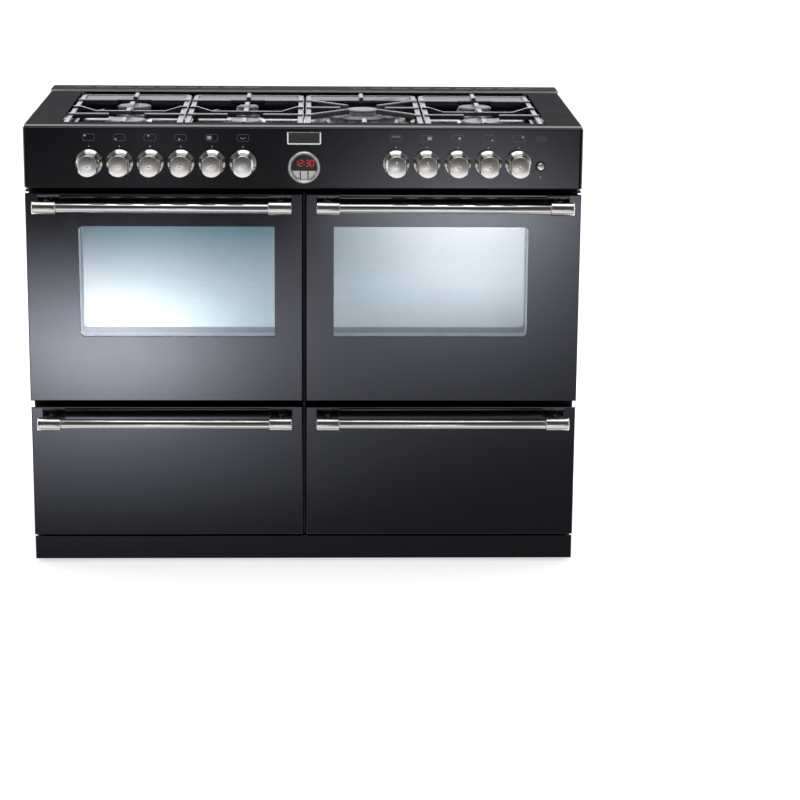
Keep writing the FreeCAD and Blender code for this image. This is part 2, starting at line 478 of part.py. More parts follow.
def fan():
    plate = box(FAN_X - 110, FAN_X + 110, 458, 460, FAN_Z - 95, FAN_Z + 95)
    tools = []
    for k in range(12):
        b = box(24, 62, 455, 465, -3, 3)
        b.rotate(V(0, 0, 0), V(0, 1, 0), 30.0 * k)
        b.translate(V(FAN_X, 0, FAN_Z))
        tools.append(b)
    posts = [cyl(5, (FAN_X + sx * 98, 460, FAN_Z + sz * 83), (0, 1, 0), 20) for sx in (-1, 1) for sz in (-1, 1)]
    save("fan_cover", fuse([cut(plate, tools)] + posts))
    hub = cyl(9, (FAN_X, 464, FAN_Z), (0, 1, 0), 13)
    shaft = cyl(SPINDLE_R, (FAN_X, 470, FAN_Z), (0, 1, 0), 54)
    disc = cyl(68, (FAN_X, 475, FAN_Z), (0, 1, 0), 2)
    blades = []
    for k in range(8):
        b = box(30, 66, 464, 476, -1, 1)
        b.rotate(V(0, 0, 0), V(0, 1, 0), 45.0 * k)
        b.translate(V(FAN_X, 0, FAN_Z))
        blades.append(b)
    save("fan_impeller", fuse([hub, shaft, disc] + blades))


def grill_elements():
    z, r = 716.0, 4.0
    bits = []
    xs = [150, 190, 230, 274, 314, 354]
    for x in xs:
        y1 = OVEN_Y1 if x in (150, 354) else 400
        bits.append(cyl(r, (x, 120, z), (0, 1, 0), y1 - 120))
    for a, b in ((150, 190), (230, 274), (314, 354)):
        bits.append(cyl(r, (a, 120, z), (1, 0, 0), b - a))
    for a, b in ((190, 230), (274, 314)):
        bits.append(cyl(r, (a, 400, z), (1, 0, 0), b - a))
    bits += [Part.makeSphere(r, V(x, 120, z)) for x in xs]
    bits += [Part.makeSphere(r, V(x, 400, z)) for x in xs[1:5]]
    s = fuse(bits)
    save("grill_elements", [s, mirrored(s, True)])


def drawer_runners():
    s = [box(524, 545, 62, 565, 128, 136), box(1.5, 16, 62, 565, 128, 136)]
    save("drawer_runners", s + [mirrored(x, True) for x in s])


def door_hinges():
    out = []
    for hx in HINGE_X:
        arm = fuse([box(hx - 6, hx + 6, HINGE_Y, FRAME_Y0, HINGE_Z - 5, HINGE_Z + 5), cyl(5, (hx - 6, HINGE_Y, HINGE_Z), (1, 0, 0), 12),
                    box(hx - 6, hx + 6, 49.5, FRAME_Y0, HINGE_Z - 16, HINGE_Z + 10)])
        pin = cyl(SPINDLE_R, (hx - 15, HINGE_Y, HINGE_Z), (1, 0, 0), 30)
        out.append(fuse([arm, pin]))
    save("door_hinges", out + [mirrored(s, True) for s in out])


def door_seals():
    s = box(22, 482, 49.2, FRAME_Y0, 380, 750).cut(box(31, 473, 40, 60, 389, 741))
    s = s.makeFillet(1.5, edges_at(s, lambda e: e.BoundBox.YMax < 49.3))
    save("door_seals", [s, mirrored(s, True)])


# ---------------------------------------------------------------- doors and drawers
def handle(name, z, left):
    rod = cyl(HANDLE_R, (HANDLE_X0 + CAP_L, HANDLE_Y, z), (1, 0, 0), HANDLE_X1 - HANDLE_X0 - 2 * CAP_L)
    parts = [rod]
    for x0, outer in ((HANDLE_X0, HANDLE_X0), (HANDLE_X1 - CAP_L, HANDLE_X1)):
        cap = cyl(CAP_R, (x0, HANDLE_Y, z), (1, 0, 0), CAP_L)
        cap = cap.makeFillet(2.0, edges_at(cap, lambda e: e.BoundBox.XLength < 0.01 and abs(e.BoundBox.XMin - outer) < 0.1))
        cap = cap.makeChamfer(1.2, edges_at(cap, lambda e: e.BoundBox.XLength < 0.01 and abs(e.BoundBox.XMin - outer) > 40
                                            and e.BoundBox.ZLength > 25))
        parts.append(fuse([cap, cyl(8.5, (x0 + CAP_L / 2, HANDLE_Y, z), (0, 1, 0), PANEL_Y - HANDLE_Y)]))
    save(name, [mirrored(s, left) for s in parts])


def door(side, left):
    y1 = PANEL_Y + PANEL_T
    s = box(DOOR_X0, DOOR_X1, PANEL_Y, y1, DOOR_Z0, DOOR_Z1)
    s = s.makeChamfer(1.4, edges_at(s, lambda e: e.BoundBox.YMax < PANEL_Y + 0.01))
    s = s.cut(window_outline(0.0, 0, 20))
    save("%s_door_front" % side, mirrored(s, left))
    pane = window_outline(0.0, PANEL_Y + 0.4, y1)
    inner = box(14, 490, DOOR_BACK, DOOR_BACK + 4, 372, 756)
    save("%s_door_glass" % side, [mirrored(pane, left), mirrored(inner, left)])
    pan = box(7, 545, y1, DOOR_BACK, 344, 757)
    pan = pan.makeFillet(5.0, edges_at(pan, lambda e: e.BoundBox.YMin > DOOR_BACK - 0.01 and e.BoundBox.ZMax > 400))
    hollow = box(9, 543, y1 - 1, DOOR_BACK - SHEET, 346, 755)
    hollow = hollow.cut(window_outline(SHEET, 0, 60))
    blocks = []
    notches = []
    for hx in HINGE_X:
        blocks.append(box(hx - 22, hx + 22, y1, DOOR_BACK, 344, 371))
        notches.append(box(hx - 8, hx + 8, 15, 60, 330, 364))
        notches.append(cyl(BORE_R, (hx - 16, HINGE_Y, HINGE_Z), (1, 0, 0), 32))
    pan = pan.cut(hollow).cut(window_outline(0.0, 0, 60))
    pan = fuse([pan] + blocks)
    for n in notches:
        pan = pan.cut(n)
    save("%s_door_frame" % side, mirrored(pan, left))
    handle("%s_door_handle" % side, HANDLE_Z_DOOR, left)


def drawer(side, left):
    y1 = PANEL_Y + PANEL_T
    s = box(DOOR_X0, DRAWER_X1, PANEL_Y, y1, DRAWER_Z0, DRAWER_Z1)
    s = s.makeChamfer(1.4, edges_at(s, lambda e: e.BoundBox.YMax < PANEL_Y + 0.01))
    rim = box(7.5, 544, y1, 42, 63.5, 321).cut(box(9.5, 542, 0, 50, 65.5, 319))
    save("%s_drawer_front" % side, mirrored(fuse([s, rim]), left))
    tray = box(BOX_X0, BOX_X1, 43, BOX_Y1, BOX_Z0, BOX_Z1).cut(box(BOX_X0 + 2, BOX_X1 - 2, 44, BOX_Y1 - 2, BOX_Z0 + 2, 400))
    plate = box(7.5, 544, 42, 44, 63.5, 321)
    ribs = [box(BOX_X1 - 1, 540, 60, BOX_Y1, 136.5, 142), box(5, BOX_X0 + 1, 60, BOX_Y1, 136.5, 142)]
    tray = fuse([tray, plate] + ribs).cut(box(BOX_X0 + 2, BOX_X1 - 2, 44, BOX_Y1 - 2, BOX_Z0 + 2, 400))
    save("%s_drawer_box" % side, mirrored(tray, left))
    handle("%s_drawer_handle" % side, HANDLE_Z_DRAWER, left)


# ---------------------------------------------------------------- build
side_and_centre_panels()
back_panel()
base_tray()
front_frame()
plinth()
levelling_feet()
fascia_panel()
control_trims()
clock_display()
clock_buttons()
ignition_button()
knobs()
gas_rail()
electrical_units()
hotplate()
rear_vent_trim()
burners()
pan_supports()
oven_liners()
oven_racks()
fan()
grill_elements()
drawer_runners()
door_hinges()
door_seals()
for name, is_left in (("left", True), ("right", False)):
    door(name, is_left)
    drawer(name, is_left)
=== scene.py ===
import bpy, bmesh, math
from mathutils import Matrix, Vector


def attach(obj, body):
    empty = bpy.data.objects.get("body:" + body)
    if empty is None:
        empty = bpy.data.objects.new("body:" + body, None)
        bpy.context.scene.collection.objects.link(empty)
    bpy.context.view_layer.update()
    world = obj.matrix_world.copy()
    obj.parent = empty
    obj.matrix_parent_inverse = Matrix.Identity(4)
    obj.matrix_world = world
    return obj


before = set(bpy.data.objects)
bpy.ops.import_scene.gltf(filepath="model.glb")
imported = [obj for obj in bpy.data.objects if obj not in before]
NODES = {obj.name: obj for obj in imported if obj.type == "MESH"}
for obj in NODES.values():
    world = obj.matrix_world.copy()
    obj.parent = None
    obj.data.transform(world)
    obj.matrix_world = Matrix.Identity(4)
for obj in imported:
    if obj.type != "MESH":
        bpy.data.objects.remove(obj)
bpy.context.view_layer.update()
scene = bpy.context.scene
YOFF = -0.2695            # the fascia's face, from the origin


def P(x, y, z):
    """Working millimetres (y = 0 on the fascia's face) to row metres."""
    return Vector((x / 1000.0, y / 1000.0 + YOFF, z / 1000.0))


# ------------------------------------------------------------------ camera
PAN, TILT, ROLL, F_PX = 0.0351, 0.2470, 0.0089, 2481.1
cam_data = bpy.data.cameras.new("camera")
cam = bpy.data.objects.new("camera", cam_data)
scene.collection.objects.link(cam)
fwd = Vector((math.sin(PAN) * math.cos(TILT), math.cos(PAN) * math.cos(TILT), -math.sin(TILT)))
right = Vector((math.cos(PAN), -math.sin(PAN), 0.0))
up = right.cross(fwd)
r2 = right * math.cos(ROLL) + up * math.sin(ROLL)
u2 = up * math.cos(ROLL) - right * math.sin(ROLL)
m = Matrix((r2, u2, -fwd)).transposed().to_4x4()
m.translation = P(22.54, -4844.9, 1565.4)
cam.matrix_world = m
cam_data.sensor_fit = "AUTO"
cam_data.sensor_width = 36.0
cam_data.lens = F_PX / 800.0 * 36.0
cam_data.clip_start, cam_data.clip_end = 0.1, 200.0
scene.camera = cam
scene.view_settings.view_transform = "Standard"
scene.view_settings.look = "None"


# ------------------------------------------------------------------ node helpers
class Tree:
    """Short ways to add shader nodes."""

    def __init__(self, nt):
        self.nt = nt

    def add(self, kind, **props):
        n = self.nt.nodes.new(kind)
        for k, v in props.items():
            setattr(n, k, v)
        return n

    def link(self, a, b):
        self.nt.links.new(a, b)

    def put(self, sock, v):
        if isinstance(v, bpy.types.NodeSocket):
            self.link(v, sock)
        else:
            sock.default_value = v

    def math(self, op, a, b=None, clamp=False):
        n = self.add("ShaderNodeMath", operation=op, use_clamp=clamp)
        self.put(n.inputs[0], a)
        if b is not None:
            self.put(n.inputs[1], b)
        return n.outputs[0]

    def coords(self, scale=(1, 1, 1), rot=(0, 0, 0)):
        t = self.add("ShaderNodeTexCoord")
        mp = self.add("ShaderNodeMapping")
        mp.inputs["Scale"].default_value = scale
        mp.inputs["Rotation"].default_value = rot
        self.link(t.outputs["Object"], mp.inputs["Vector"])
        return mp.outputs["Vector"]

    def noise(self, vec, scale, detail=3.0, rough=0.55, dist=0.0):
        n = self.add("ShaderNodeTexNoise")
        n.inputs["Scale"].default_value = scale
        n.inputs["Detail"].default_value = detail
        n.inputs["Roughness"].default_value = rough
        n.inputs["Distortion"].default_value = dist
        self.link(vec, n.inputs["Vector"])
        return n.outputs["Fac"]

    def ramp(self, fac, *stops):
        n = self.add("ShaderNodeValToRGB")
        el = n.color_ramp.elements
        while len(el) < len(stops):
            el.new(0.5)
        for e, (p, c) in zip(el, stops):
            e.position = p
            e.color = (c, c, c, 1) if isinstance(c, (int, float)) else (*c, 1)
        self.link(fac, n.inputs["Fac"])
        return n.outputs["Color"]

    def bump(self, height, strength, distance):
        n = self.add("ShaderNodeBump")
        n.inputs["Strength"].default_value = strength
        n.inputs["Distance"].default_value = distance
        self.link(height, n.inputs["Height"])
        return n.outputs["Normal"]


def material(name, **sockets):
    m = bpy.data.materials.new(name)
    m.use_nodes = True
    t = Tree(m.node_tree)
    b = m.node_tree.nodes["Principled BSDF"]
    for k, v in sockets.items():
        b.inputs[k.replace("_", " ")].default_value = v
    return m, t, b


def surface(name, lo, hi, rough, scale=30.0, stretch=(1, 1, 1), bump=0.0, bump_scale=None, bump_d=0.0002, detail=4.0, dist=0.0, **sockets):
    """A procedural finish: colour between lo and hi, roughness between its two values, and a fine relief."""
    m, t, b = material(name, **sockets)
    v = t.coords(stretch)
    n = t.noise(v, scale, detail, 0.6, dist)
    t.link(t.ramp(n, (0.3, lo), (0.7, hi)), b.inputs["Base Color"])
    n2 = t.noise(v, scale * 2.7, 3.0, 0.5)
    t.link(t.ramp(n2, (0.3, rough[0]), (0.7, rough[1])), b.inputs["Roughness"])
    if bump:
        n3 = t.noise(v, bump_scale or scale * 6, 4.0, 0.6)
        t.link(t.bump(n3, bump, bump_d), b.inputs["Normal"])
    return m


# ------------------------------------------------------------------ materials
gloss_black = surface("gloss_black_enamel", (0.0012, 0.0012, 0.0016), (0.0022, 0.0022, 0.0027), (0.03, 0.055), 9.0,
                      bump=0.02, bump_scale=160.0, bump_d=0.0004, IOR=1.67, Specular_Tint=(0.85, 0.88, 1.0, 1))
fascia_black = surface("fascia_enamel", (0.0010, 0.0010, 0.0014), (0.0018, 0.0018, 0.0023), (0.05, 0.08), 11.0,
                       bump=0.02, bump_scale=220.0, bump_d=0.0003, IOR=1.46, Specular_Tint=(0.88, 0.90, 1.0, 1))
satin_black = surface("satin_black_sheet", (0.006, 0.006, 0.0065), (0.010, 0.010, 0.011), (0.40, 0.50), 25.0,
                      bump=0.03, bump_scale=900.0, bump_d=0.0001, Specular_IOR_Level=0.25)
hob_matt = surface("hob_surround", (0.040, 0.040, 0.0425), (0.051, 0.051, 0.054), (0.50, 0.62), 22.0,
                   bump=0.10, bump_scale=900.0, bump_d=0.0001, Specular_IOR_Level=0.0)
trim_matt = surface("vent_trim", (0.060, 0.060, 0.064), (0.074, 0.074, 0.079), (0.50, 0.62), 22.0,
                    bump=0.10, bump_scale=900.0, bump_d=0.0001, Specular_IOR_Level=0.0)
hob_gloss = surface("hob_well", (0.004, 0.004, 0.005), (0.008, 0.008, 0.009), (0.05, 0.10), 14.0,
                    bump=0.02, bump_scale=120.0, bump_d=0.0003, IOR=1.55)
grate_gloss = surface("grate_enamel", (0.012, 0.012, 0.014), (0.024, 0.025, 0.028), (0.25, 0.33), 60.0,
                      bump=0.015, bump_scale=260.0, bump_d=0.0003, IOR=2.1, Specular_Tint=(0.90, 0.91, 1.0, 1))
cap_gloss = surface("burner_cap_enamel", (0.125, 0.132, 0.155), (0.17, 0.18, 0.207), (0.34, 0.44), 45.0,
                    bump=0.02, bump_scale=300.0, bump_d=0.0002, IOR=1.5)
edge_bright = surface("hob_front_edge", (0.125, 0.122, 0.121), (0.152, 0.150, 0.149), (0.20, 0.30), 30.0, (1, 30, 30), Metallic=1.0)
# painted light: the vent trim's front face is the same trim, coloured pale where the light falls on it
trim_painted_lit_front = surface("vent_trim_painted_lit_front", (0.66, 0.66, 0.67), (0.74, 0.74, 0.75), (0.40, 0.52), 30.0)
cast_alloy = surface("cast_alloy", (0.50, 0.51, 0.53), (0.66, 0.67, 0.69), (0.30, 0.45), 90.0,
                     bump=0.25, bump_scale=800.0, bump_d=0.0002, Metallic=0.9)
ceramic_white = surface("spark_ceramic", (0.80, 0.79, 0.75), (0.9, 0.89, 0.86), (0.2, 0.35), 200.0)
oven_enamel = surface("oven_enamel", (0.020, 0.024, 0.031), (0.036, 0.042, 0.052), (0.18, 0.32), 60.0,
                      bump=0.08, bump_scale=900.0, bump_d=0.0002)
rack_chrome = surface("rack_plating", (0.62, 0.62, 0.62), (0.74, 0.74, 0.74), (0.12, 0.24), 120.0, Metallic=1.0)
element_dark = surface("element_sheath", (0.07, 0.065, 0.06), (0.15, 0.14, 0.13), (0.35, 0.55), 70.0, Metallic=0.8)
rubber = surface("seal_rubber", (0.018, 0.018, 0.018), (0.035, 0.035, 0.034), (0.6, 0.8), 150.0, bump=0.2, bump_scale=1500.0)
foot_black = surface("foot_plastic", (0.015, 0.015, 0.015), (0.028, 0.028, 0.028), (0.45, 0.6), 120.0, bump=0.15, bump_scale=1500.0)
switch_cream = surface("switch_plastic", (0.55, 0.52, 0.45), (0.66, 0.63, 0.56), (0.4, 0.55), 120.0, bump=0.1, bump_scale=1200.0)
brass = surface("gas_brass", (0.50, 0.36, 0.14), (0.64, 0.48, 0.22), (0.22, 0.38), 90.0, Metallic=1.0)
trim_chrome = surface("trim_chrome", (0.70, 0.69, 0.68), (0.80, 0.79, 0.78), (0.10, 0.20), 70.0, Metallic=1.0)
display_black = surface("display_lens", (0.004, 0.006, 0.006), (0.007, 0.010, 0.009), (0.06, 0.10), 60.0)
key_silver = surface("clock_key", (0.60, 0.60, 0.55), (0.70, 0.70, 0.65), (0.28, 0.38), 300.0, bump=0.05, bump_scale=2500.0, Metallic=0.25)
knob_nickel = surface("knob_nickel", (0.66, 0.64, 0.60), (0.73, 0.71, 0.67), (0.035, 0.055), 160.0,
                      Metallic=1.0)
knob_face = surface("knob_brushed_face", (0.88, 0.86, 0.82), (0.93, 0.91, 0.87), (0.27, 0.30), 160.0, Metallic=1.0)
trim_satin = surface("trim_satin", (0.66, 0.66, 0.65), (0.74, 0.74, 0.73), (0.34, 0.40), 90.0, Metallic=1.0)
handle_cap = surface("handle_cap", (0.73, 0.715, 0.68), (0.78, 0.765, 0.73), (0.21, 0.24), 60.0, (30.0, 0.6, 0.6), Metallic=1.0)
handle_steel = surface("handle_brushed", (0.72, 0.705, 0.675), (0.77, 0.755, 0.725), (0.12, 0.14), 60.0, (0.6, 30.0, 30.0), Metallic=1.0)
print_grey = surface("fascia_print", (0.13, 0.13, 0.135), (0.19, 0.19, 0.195), (0.5, 0.6), 900.0)
print_white = surface("fascia_marks", (0.40, 0.40, 0.41), (0.50, 0.50, 0.51), (0.5, 0.6), 900.0)
# painted highlight: the badge's chrome rim is drawn as near-white paint, standing in for its bright edges
rim_painted_highlight = surface("plate_rim_painted_highlight", (0.90, 0.90, 0.89), (0.95, 0.95, 0.94), (0.24, 0.32), 300.0)
badge_dark = surface("badge_field", (0.012, 0.012, 0.013), (0.022, 0.022, 0.024), (0.25, 0.35), 200.0, (1, 40, 1))


def zinc():
    m, t, b = material("zinc_sheet", Metallic=0.85)
    v = t.coords()
    vo = t.add("ShaderNodeTexVoronoi")
    vo.inputs["Scale"].default_value = 95.0
    t.link(v, vo.inputs["Vector"])
    sep = t.add("ShaderNodeSeparateColor")
    t.link(vo.outputs["Color"], sep.inputs[0])
    t.link(t.ramp(sep.outputs[0], (0.0, (0.150, 0.154, 0.160)), (1.0, (0.186, 0.190, 0.197))), b.inputs["Base Color"])
    t.link(t.ramp(sep.outputs[1], (0.0, 0.42), (1.0, 0.5)), b.inputs["Roughness"])
    return m


zinc_sheet = zinc()

# outer pane: clear; inner pane: tinted in front and coated behind, a part mirror whose colour is a painted reflection,
# ramped by height and different on each door
pane_clear = surface("pane_clear", (0.46, 0.48, 0.54), (0.50, 0.52, 0.58), (0.015, 0.035), 20.0, Metallic=1.0, Alpha=0.10)
pane_tint = surface("pane_tint", (0.055, 0.455, 0.59), (0.065, 0.495, 0.64), (0.015, 0.035), 20.0, IOR=1.5, Alpha=0.36)


def painted_reflection_pane(name, *stops):
    m, t, b = material(name, Metallic=1.0, Alpha=0.90)
    v = t.coords()
    sep = t.add("ShaderNodeSeparateXYZ")
    t.link(v, sep.inputs[0])
    # painted reflection: the mirror's colour is ramped from the bottom of the window to its top
    h = t.math("DIVIDE", t.math("SUBTRACT", sep.outputs[2], 0.4724), 0.2238)
    n = t.noise(v, 6.0)
    f = t.math("ADD", h, t.math("MULTIPLY", t.math("SUBTRACT", n, 0.5), 0.12), True)
    t.link(t.ramp(f, *stops), b.inputs["Base Color"])
    t.link(t.ramp(n, (0.3, 0.012), (0.7, 0.03)), b.inputs["Roughness"])
    return m


# painted reflection, one ramp for each door: the left lighter towards the top, the right darker towards the top
pane_painted_reflection = {
    "left": painted_reflection_pane("pane_painted_reflection_left", (0.0, (0.450, 0.590, 0.598)), (0.45, (0.688, 0.690, 0.698)), (1.0, (0.870, 0.865, 0.865))),
    "right": painted_reflection_pane("pane_painted_reflection_right", (0.0, (0.575, 0.577, 0.585)), (0.45, (0.645, 0.640, 0.640)), (0.8, (0.475, 0.447, 0.430)), (1.0, (0.407, 0.381, 0.366))),
}
# painted reflection: the window tunnel is coloured pale lavender to stand in for the bright reflection seen round each
# window
tunnel_painted_reflection = surface("window_tunnel_painted_reflection", (0.72, 0.73, 0.78), (0.80, 0.81, 0.86), (0.35, 0.5), 50.0, bump=0.05, bump_scale=900.0)

m, t, b = material("display_red", Emission_Strength=1.1, Roughness=0.4)
n = t.noise(t.coords(), 900.0, 2.0)
t.link(t.ramp(n, (0.3, (0.36, 0.006, 0.014)), (0.7, (0.50, 0.010, 0.022))), b.inputs["Emission Color"])
t.link(t.ramp(n, (0.3, (0.25, 0.01, 0.02)), (0.7, (0.35, 0.015, 0.03))), b.inputs["Base Color"])
display_red = m

MATS = {
    "side_and_centre_panels": satin_black, "back_panel": zinc_sheet, "base_tray": zinc_sheet, "front_frame": satin_black,
    "plinth": gloss_black, "levelling_feet": foot_black, "fascia_panel": fascia_black, "control_trims": trim_satin,
    "clock_display": display_black, "gas_rail": brass, "electrical_units": switch_cream, "hotplate": hob_matt,
    "rear_vent_trim": trim_matt, "burner_bodies": cast_alloy, "burner_crowns": cast_alloy, "burner_caps": cap_gloss,
    "spark_electrodes": ceramic_white, "oven_liners": oven_enamel, "oven_racks": rack_chrome, "fan_cover": oven_enamel,
    "grill_elements": element_dark, "drawer_runners": zinc_sheet, "door_hinges": zinc_sheet, "door_seals": rubber,
    "fan_impeller": cast_alloy, "ignition_button": knob_face,
}
for name in NODES:
    if name.startswith("clock_button"):
        MATS[name] = key_silver
    elif name.startswith("knob_"):
        MATS[name] = knob_nickel
    elif name.startswith("pan_support"):
        MATS[name] = grate_gloss
    elif name.endswith(("_door_front", "_drawer_front")):
        MATS[name] = gloss_black
    elif name.endswith("_door_frame"):
        MATS[name] = satin_black
    elif name.endswith("_drawer_box"):
        MATS[name] = zinc_sheet
    elif name.endswith("_handle"):
        MATS[name] = handle_steel
    elif name.endswith("_door_glass"):
        MATS[name] = pane_clear

NO_BEVEL = {"fascia_panel", "oven_racks", "burner_crowns", "grill_elements", "gas_rail", "electrical_units", "back_panel", "spark_electrodes"}
for name, o in NODES.items():
    o.data.materials.clear()
    o.data.materials.append(MATS[name])
    for p in o.data.polygons:
        p.material_index = 0
    if name not in NO_BEVEL:
        w = o.modifiers.new("weld", "WELD")
        w.merge_threshold = 0.00002
        bv = o.modifiers.new("edge", "BEVEL")
        bv.width = 0.0006 if not name.startswith(("clock", "ignition", "control")) else 0.0003
        bv.segments = 2
        bv.limit_method = "ANGLE"
        bv.angle_limit = math.radians(35)
        bv.harden_normals = True
        bv.use_clamp_overlap = True

for side in ("left", "right"):
    o = NODES[side + "_door_glass"]
    o.data.materials.clear()
    o.data.materials.append(pane_clear)
    o.data.materials.append(pane_painted_reflection[side])
    o.data.materials.append(pane_tint)
    for p in o.data.polygons:
        p.material_index = 0 if p.center.y < YOFF + 0.02 else 2 if p.normal.y < -0.5 else 1
    # the frame's faces inside the window opening take the tunnel's painted reflection
    o = NODES[side + "_door_frame"]
    o.data.materials.append(tunnel_painted_reflection)
    for p in o.data.polygons:
        c = p.center
        x = abs(c.x)
        if 0.0580 < x < 0.4462 and 0.4724 < c.z < 0.6962:
            p.material_index = 1


o = NODES["hotplate"]
o.data.materials.append(hob_gloss)
o.data.materials.append(edge_bright)
for p in o.data.polygons:
    c = p.center
    if p.normal.z > 0.3 and p.normal.y < -0.3 and c.y < YOFF + 0.009 and c.z > 0.890:
        p.material_index = 2
    elif c.z < 0.8955:
        p.material_index = 1


for name, o in NODES.items():
    if name.endswith("_handle"):
        xs = [v.co.x for v in o.data.vertices]
        o.data.materials.append(handle_cap)
        for p in o.data.polygons:
            if p.center.y < YOFF - 0.029 and (p.center.x < min(xs) + 0.0465 or p.center.x > max(xs) - 0.0465):
                p.material_index = 1
    if name.startswith("knob_"):
        o.data.materials.append(knob_face)
        for p in o.data.polygons:
            if p.center.y < YOFF - 0.0415:
                p.material_index = 1

o = NODES["control_trims"]
o.data.materials.append(rim_painted_highlight)
o.data.materials.append(foot_black)
for p in o.data.polygons:
    # the polygons round the badge take the painted highlight
    if p.center.z > 0.858 and abs(p.center.x) < 0.036:
        p.material_index = 1
    elif p.center.x > 0.40 and p.center.z > 0.805:
        p.material_index = 2

# painted light: the trim's forward-facing faces take the pale lit colour, while its top stays dark
o = NODES["rear_vent_trim"]
o.data.materials.append(trim_painted_lit_front)
for p in o.data.polygons:
    if p.normal.y < -0.9:
        p.material_index = 1


# ------------------------------------------------------------------ small pieces on the fascia
def piece(name, bm, mat, body="carcass"):
    me = bpy.data.meshes.new(name)
    bm.to_mesh(me)
    bm.free()
    o = bpy.data.objects.new(name, me)
    scene.collection.objects.link(o)
    me.materials.append(mat)
    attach(o, body)
    return o


def quad(bm, pts, y, thick=0.05):
    """A thin printed shape: a prism from the (x, z) outline, standing thick mm proud of y."""
    front = [bm.verts.new(P(x, y - thick, z)) for x, z in pts]
    back = [bm.verts.new(P(x, y, z)) for x, z in pts]
    n = len(pts)
    bm.faces.new(front)
    for i in range(n):
        j = (i + 1) % n
        bm.faces.new((front[j], front[i], back[i], back[j]))


def rect(bm, x0, x1, z0, z1, y=0.0):
    quad(bm, [(x0, z0), (x1, z0), (x1, z1), (x0, z1)], y)


def disc(bm, x, z, r, y=0.0, n=18):
    quad(bm, [(x + r * math.cos(2 * math.pi * k / n), z + r * math.sin(2 * math.pi * k / n)) for k in range(n)], y)


def line(bm, x0, z0, x1, z1, w, y=0.0):
    dx, dz = x1 - x0, z1 - z0
    d = math.hypot(dx, dz)
    nx, nz = -dz / d * w / 2, dx / d * w / 2
    quad(bm, [(x0 - nx, z0 - nz), (x1 - nx, z1 - nz), (x1 + nx, z1 + nz), (x0 + nx, z0 + nz)], y)


def outline(bm, cx, cz, w, h, t=0.6, cut=2.2):
    """A frame with cut corners, as printed round each pictogram."""
    x0, x1, z0, z1 = cx - w / 2, cx + w / 2, cz - h / 2, cz + h / 2
    for a, b2 in (((x0 + cut, z1), (x1 - cut, z1)), ((x1, z1 - cut), (x1, z0 + cut)), ((x1 - cut, z0), (x0 + cut, z0)), ((x0, z0 + cut), (x0, z1 - cut)),
                  ((x0, z1 - cut), (x0 + cut, z1)), ((x1 - cut, z1), (x1, z1 - cut)), ((x1, z0 + cut), (x1 - cut, z0)), ((x0 + cut, z0), (x0, z0 + cut))):
        line(bm, a[0], a[1], b2[0], b2[1], t)


SYMBOLS = {
    "rear_left": (-421.0, [("dot", -7.4, 3.4)]), "front_left": (-361.2, [("dot", -7.4, -3.4)]),
    "mid_rear": (-301.6, [("dot", -2.8, 3.4)]), "mid_front": (-241.5, [("dot", -2.8, -3.4)]),
    "left_oven": (-180.6, [("block", -4.8, 0)]), "function": (-119.8, [("arc", 0, 0)]),
    "grill": (181.0, [("zigzag", 0, 3.0)]), "right_oven": (241.6, [("block", 4.8, 0)]),
    "wok": (302.4, [("ring", 3.0, 0)]), "front_right": (362.5, [("dot", 7.4, -3.4)]), "rear_right": (422.2, [("dot", 7.4, 3.4)]),
}
for key, (cx, marks) in SYMBOLS.items():
    bm = bmesh.new()
    outline(bm, cx, 872.5, 22.6, 12.8)
    first = len(bm.faces)
    for kind, dx, dz in marks:
        x, z = cx + dx, 872.5 + dz
        if kind == "dot":
            disc(bm, x, z, 1.9)
        elif kind == "ring":
            disc(bm, x, z, 2.9)
        elif kind == "block":
            rect(bm, x - 4.0, x + 4.0, z - 3.4, z + 3.4)
        elif kind == "zigzag":
            for k in range(6):
                line(bm, x - 8.1 + 2.7 * k, z + (1.2 if k % 2 else -1.2), x - 5.4 + 2.7 * k, z + (-1.2 if k % 2 else 1.2), 0.8)
        elif kind == "arc":
            for k in range(6):
                a, b2 = math.radians(200 + 24 * k), math.radians(224 + 24 * k)
                line(bm, x + 5 * math.cos(a), z + 2 + 4 * math.sin(a), x + 5 * math.cos(b2), z + 2 + 4 * math.sin(b2), 0.9)
    quad(bm, [(cx - 1.6, 853.6), (cx + 1.6, 853.6), (cx, 857.2)], 0.0)
    for k, f in enumerate(bm.faces):
        f.material_index = 1 if k >= first else 0
    piece("print_" + key, bm, print_grey).data.materials.append(print_white)

bm = bmesh.new()
outline(bm, 466.0, 872.5, 21.0, 8.4)
for k in range(4):
    line(bm, 459.0 + 3.5 * k, 871.2 if k % 2 else 873.8, 462.5 + 3.5 * k, 873.8 if k % 2 else 871.2, 0.7)
piece("print_ignition", bm, print_grey)

bm = bmesh.new()
rect(bm, -30.6, 30.6, 862.6, 883.6, -1.2)
piece("badge_blank", bm, badge_dark)

